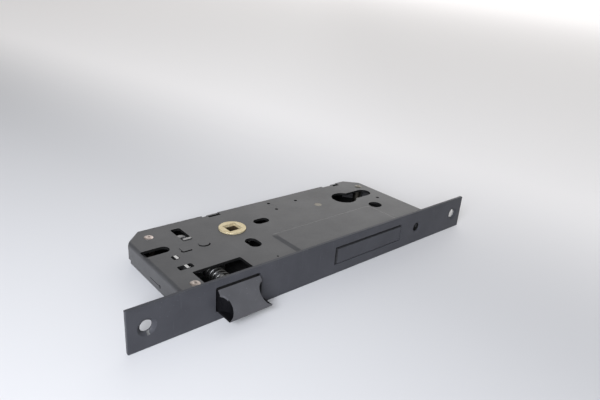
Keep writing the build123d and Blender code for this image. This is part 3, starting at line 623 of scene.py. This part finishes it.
# Painted shade: the bore darkens to brown below its mouth.
below_mouth = matt_brass.between(along(matt_brass, (0, 0, 1)), 1.0, 0.0, BORE_SHADE_FULL, BORE_SHADE_ENDS)
matt_brass.feed("Base Color", matt_brass.over(below_mouth, matt_colour, BORE_SHADE))
matt_brass.feed("Roughness", matt_brass.between(torn, *MATT_ROUGH))
matt_brass.relief(torn, TEAR_DEPTH)
hub_finishes = [turned_brass.material, matt_brass.material]
hub = finished_copy("follower_hub", hub_finishes, HUB_EDGE, HUB_EDGE_STEPS)
repaint(hub, matt_brass.material, lambda middle, way: abs(way.z) < RIM_LEAN)

# Follower arm, its spring and the spring's stop
# A stamped arm pressed on the hub, which pulls the latch's tail back. A torsion spring round
# the hub turns it home again and bears on a short post riveted in the tray.
finished_copy("follower_arm", [zinc_flat, zinc_edge], PART_EDGE)
finished_copy("spring_stop_post", [zinc_flat, zinc_edge], PART_EDGE)
refinish("follower_spring", spring_wire.material)

# Change lever and its post
# A long stamped lever by which the cylinder's cam draws the latch in. It turns on a plain
# steel post, which is coated black with the case.
finished_copy("change_lever", [zinc_flat, zinc_edge], PART_EDGE)
finished_copy("change_lever_post", [case_coat, case_edge], PART_EDGE)

# Deadbolt
# A solid steel bar, coated as the forend is where it shows; its top and left end are painted near
# black as painted shade in the gaps round it. It is riveted to a zinc plated tail, whose notches
# the detent spring drops into.
BOLT_SHADE_DARK = (0.018, 0.018, 0.019)
BOLT_SHADE_LIGHT = (0.032, 0.032, 0.034)
bolt_side_shade = shade_black("bolt_side_painted_shade", BOLT_SHADE_DARK, BOLT_SHADE_LIGHT)
bolt = finished_copy("deadbolt_head", [forend_coat, forend_edge], FOREND_EDGE)
# Painted shade: the bolt's top and left end.
repaint(bolt, bolt_side_shade, lambda middle, way: way.z > FACING or way.x < -FACING)
finished_copy("deadbolt_tail", [zinc_deep, zinc_edge], PART_EDGE)
finished_copy("deadbolt_rivets", [zinc_flat, zinc_edge], PART_EDGE)

# Throw lever, its pin and its post
# The stamped lever with a fork for the cylinder's cam and a pin that drives the deadbolt's
# tail. Its post is riveted through the cover, and is plated like the corner rivets, as dark as
# those away from the far left.
finished_copy("throw_lever", [zinc_flat, zinc_edge], PART_EDGE)
finished_copy("throw_lever_pin", [zinc_flat, zinc_edge], PART_EDGE)
finished_copy("throw_lever_post", [rivet_plate.material], PART_EDGE)

# Detent spring and guide posts
# A leaf of spring steel with one hump, held by its root behind a post, and the low posts
# that the deadbolt's tail slides between.
LEAF_EDGE = 0.00005
finished_copy("detent_spring", [spring_wire.material, zinc_edge], LEAF_EDGE)
finished_copy("tail_guide_posts", [zinc_flat, zinc_edge], PART_EDGE)

# Floor
# A plain pale table. The lock rests on the forend's back edge and on the tray's far edge, so
# the table leans a little against the case's own level. It is painted darker towards the front
# right as painted shade, and its farther parts glow paler to the camera and in reflections on
# metal, as painted light.
FOREND_FOOT = Vector((0, 0.002, -0.0111))
CASE_FOOT = Vector((0, 0.074, -0.00685))
FLOOR_REACH = 30.0
TABLE = (0.75, 0.75, 0.76)
TABLE_RIGHT_SHADE = (0.62, 0.62, 0.63)
TABLE_ROUGH = 0.6
RIGHTWARD = (0.73, -0.68, 0)
RIGHT_FADE = (-0.12, 0.15)
AWAY = (1, 0.3, 0)
NEAR_GLOW = 0.35
NEAR_FADE = (0.0, 0.28)
FAR_GLOW = 0.36
FAR_FADE = (0.2, 5.0)
GLOW_TINT = (1.0, 0.97, 0.96, 1)
floor_shape = bmesh.new()
bmesh.ops.create_grid(floor_shape, x_segments=1, y_segments=1, size=FLOOR_REACH)
rise = CASE_FOOT - FOREND_FOOT
lean = Matrix.Rotation(math.atan2(rise.z, rise.y), 4, "X")
bmesh.ops.transform(floor_shape, matrix=Matrix.Translation(FOREND_FOOT) @ lean, verts=floor_shape.verts)
floor_mesh = bpy.data.meshes.new("floor")
floor_shape.to_mesh(floor_mesh)
floor_shape.free()
floor = bpy.data.objects.new("floor", floor_mesh)
bpy.context.scene.collection.objects.link(floor)
table_top = Finish("table_top", 0.0, TABLE_ROUGH)
rightward_shade = table_top.between(along(table_top, RIGHTWARD), 0.0, 1.0, *RIGHT_FADE, "SMOOTHSTEP")
# Painted shade: the table darkens towards the front right.
table_top.feed("Base Color", table_top.over(rightward_shade, TABLE, TABLE_RIGHT_SHADE))
away = along(table_top, AWAY)
near_glow = table_top.between(away, 0.0, NEAR_GLOW, *NEAR_FADE, "SMOOTHSTEP")
far_glow = table_top.between(away, 0.0, FAR_GLOW, *FAR_FADE, "SMOOTHSTEP")
seen = table_top.nodes.new("ShaderNodeLightPath")
looked_at = table_top.joined(seen.outputs["Is Camera Ray"], seen.outputs["Is Glossy Ray"])
glow = table_top.joined(table_top.joined(near_glow, far_glow), looked_at, "MULTIPLY")
# Painted light: the table glows paler with distance, for the camera and in glossy reflections.
table_top.feed("Emission Strength", glow)
table_top.shader.inputs["Emission Color"].default_value = GLOW_TINT
floor_mesh.materials.append(table_top.material)

# Room and lamp
# Soft pale light from a pale wall at the back right, and a soft window at the left. The camera
# itself sees pale walls all round.
WALL_WAY = Vector((0.85, 0.45, 0.25)).normalized()
WALL_STARTS = 0.45
ROOM_TINT = (1.0, 0.99, 0.98, 1)
ROOM_DIM = 0.16
ROOM_BRIGHT = 1.25
ROOM_SEEN = 0.80
room = bpy.data.worlds.new("room")
room.use_nodes = True
room_nodes = room.node_tree.nodes
room_links = room.node_tree.links
room_light = room_nodes["Background"]
room_light.inputs["Color"].default_value = ROOM_TINT
gaze = room_nodes.new("ShaderNodeTexCoord")
wallward = room_nodes.new("ShaderNodeVectorMath")
wallward.operation = "DOT_PRODUCT"
wallward.inputs[1].default_value = WALL_WAY
room_links.new(gaze.outputs["Generated"], wallward.inputs[0])
graded = room_nodes.new("ShaderNodeMapRange")
graded.inputs["From Min"].default_value = WALL_STARTS
graded.inputs["To Min"].default_value = ROOM_DIM
graded.inputs["To Max"].default_value = ROOM_BRIGHT
room_links.new(wallward.outputs["Value"], graded.inputs["Value"])
camera_ray = room_nodes.new("ShaderNodeLightPath")
pale = room_nodes.new("ShaderNodeMath")
pale.operation = "MULTIPLY"
pale.inputs[1].default_value = ROOM_SEEN
room_links.new(camera_ray.outputs["Is Camera Ray"], pale.inputs[0])
strength = room_nodes.new("ShaderNodeMath")
strength.operation = "MAXIMUM"
room_links.new(graded.outputs["Result"], strength.inputs[0])
room_links.new(pale.outputs["Value"], strength.inputs[1])
room_links.new(strength.outputs["Value"], room_light.inputs["Strength"])
bpy.context.scene.world = room

WINDOW_PLACE = Vector((-0.62, -0.42, 0.40))
WINDOW_SIZE = (0.5, 0.4)
WINDOW_POWER = 10.8
WINDOW_TINT = (0.89, 0.92, 0.985)
lamp = bpy.data.lights.new("window", "AREA")
lamp.shape = "RECTANGLE"
lamp.size, lamp.size_y = WINDOW_SIZE
lamp.energy = WINDOW_POWER
lamp.color = WINDOW_TINT
window = bpy.data.objects.new("window", lamp)
window.location = WINDOW_PLACE
window.rotation_euler = (-WINDOW_PLACE).to_track_quat("-Z", "Y").to_euler()
bpy.context.scene.collection.objects.link(window)

# Camera
# Stands where the photograph was taken from, which its straight edges and holes gave.
FOCAL_PIXELS = 509.27
FRAME_WIDTH = 600
SENSOR = 36
NEAREST = 0.01
FURTHEST = 50
CAMERA_PLACE = (-0.18812, -0.17345, 0.13693)
CAMERA_TURN = Vector((1.8902931, -0.6453837, 0.5290666))
camera_data = bpy.data.cameras.new("camera")
camera_data.sensor_width = SENSOR
camera_data.lens = SENSOR * FOCAL_PIXELS / FRAME_WIDTH
camera_data.clip_start = NEAREST
camera_data.clip_end = FURTHEST
camera = bpy.data.objects.new("camera", camera_data)
camera.location = CAMERA_PLACE
right, down, ahead = Matrix.Rotation(CAMERA_TURN.length, 3, CAMERA_TURN.normalized())
camera.rotation_euler = Matrix((right, -down, -ahead)).transposed().to_euler()
bpy.context.scene.collection.objects.link(camera)
bpy.context.scene.camera = camera
bpy.context.scene.view_settings.view_transform = "Standard"
